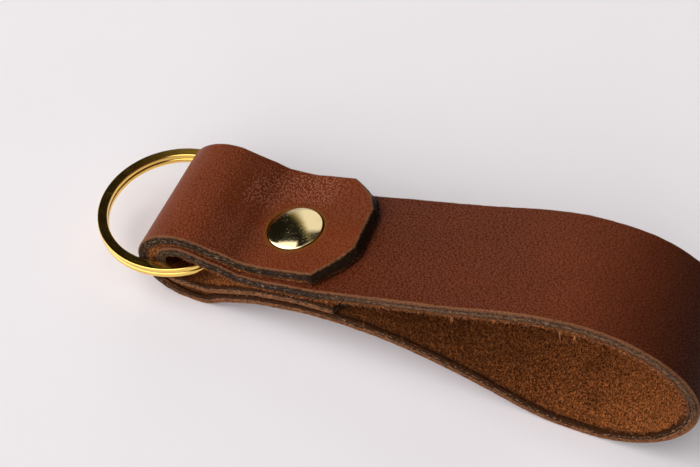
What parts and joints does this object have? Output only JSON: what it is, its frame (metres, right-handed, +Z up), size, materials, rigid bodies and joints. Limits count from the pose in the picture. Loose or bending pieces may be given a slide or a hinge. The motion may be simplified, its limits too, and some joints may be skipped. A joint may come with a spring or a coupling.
{
  "type": "leather loop key fob",
  "caption": "Folded leather strap loop held by a double cap rivet, with a flat split ring through its folded end.",
  "frame": {"origin": "on the table under the middle of the whole fob, halfway from the ring's free end to the loop's closed end", "axes": "+X from the split ring along the strap to the closed end of the loop, +Y across the strap, +Z up"},
  "size_m": [0.1212, 0.032, 0.0308],
  "materials": {
    "leather": "pull-up cowhide: satin grain side, raw suede inside, burnished cut edges",
    "rivet_brass": "polished",
    "ring_gold": "polished gold-coloured plate"
  },
  "bodies": {
    "strap": {"leather_strap": "leather", "rivet_top_cap": "rivet_brass", "rivet_socket": "rivet_brass", "rivet_post": "rivet_brass", "rivet_bottom_cap": "rivet_brass"},
    "ring": {"split_ring": "ring_gold"}
  },
  "joints": [
    {"name": "ring_swing", "type": "hinge", "parent": "strap", "child": "ring", "pos_m": [-0.02968, 0, 0.00997], "axis": [0, 1, 0], "range_deg": [-6.5, 10]}
  ]
}
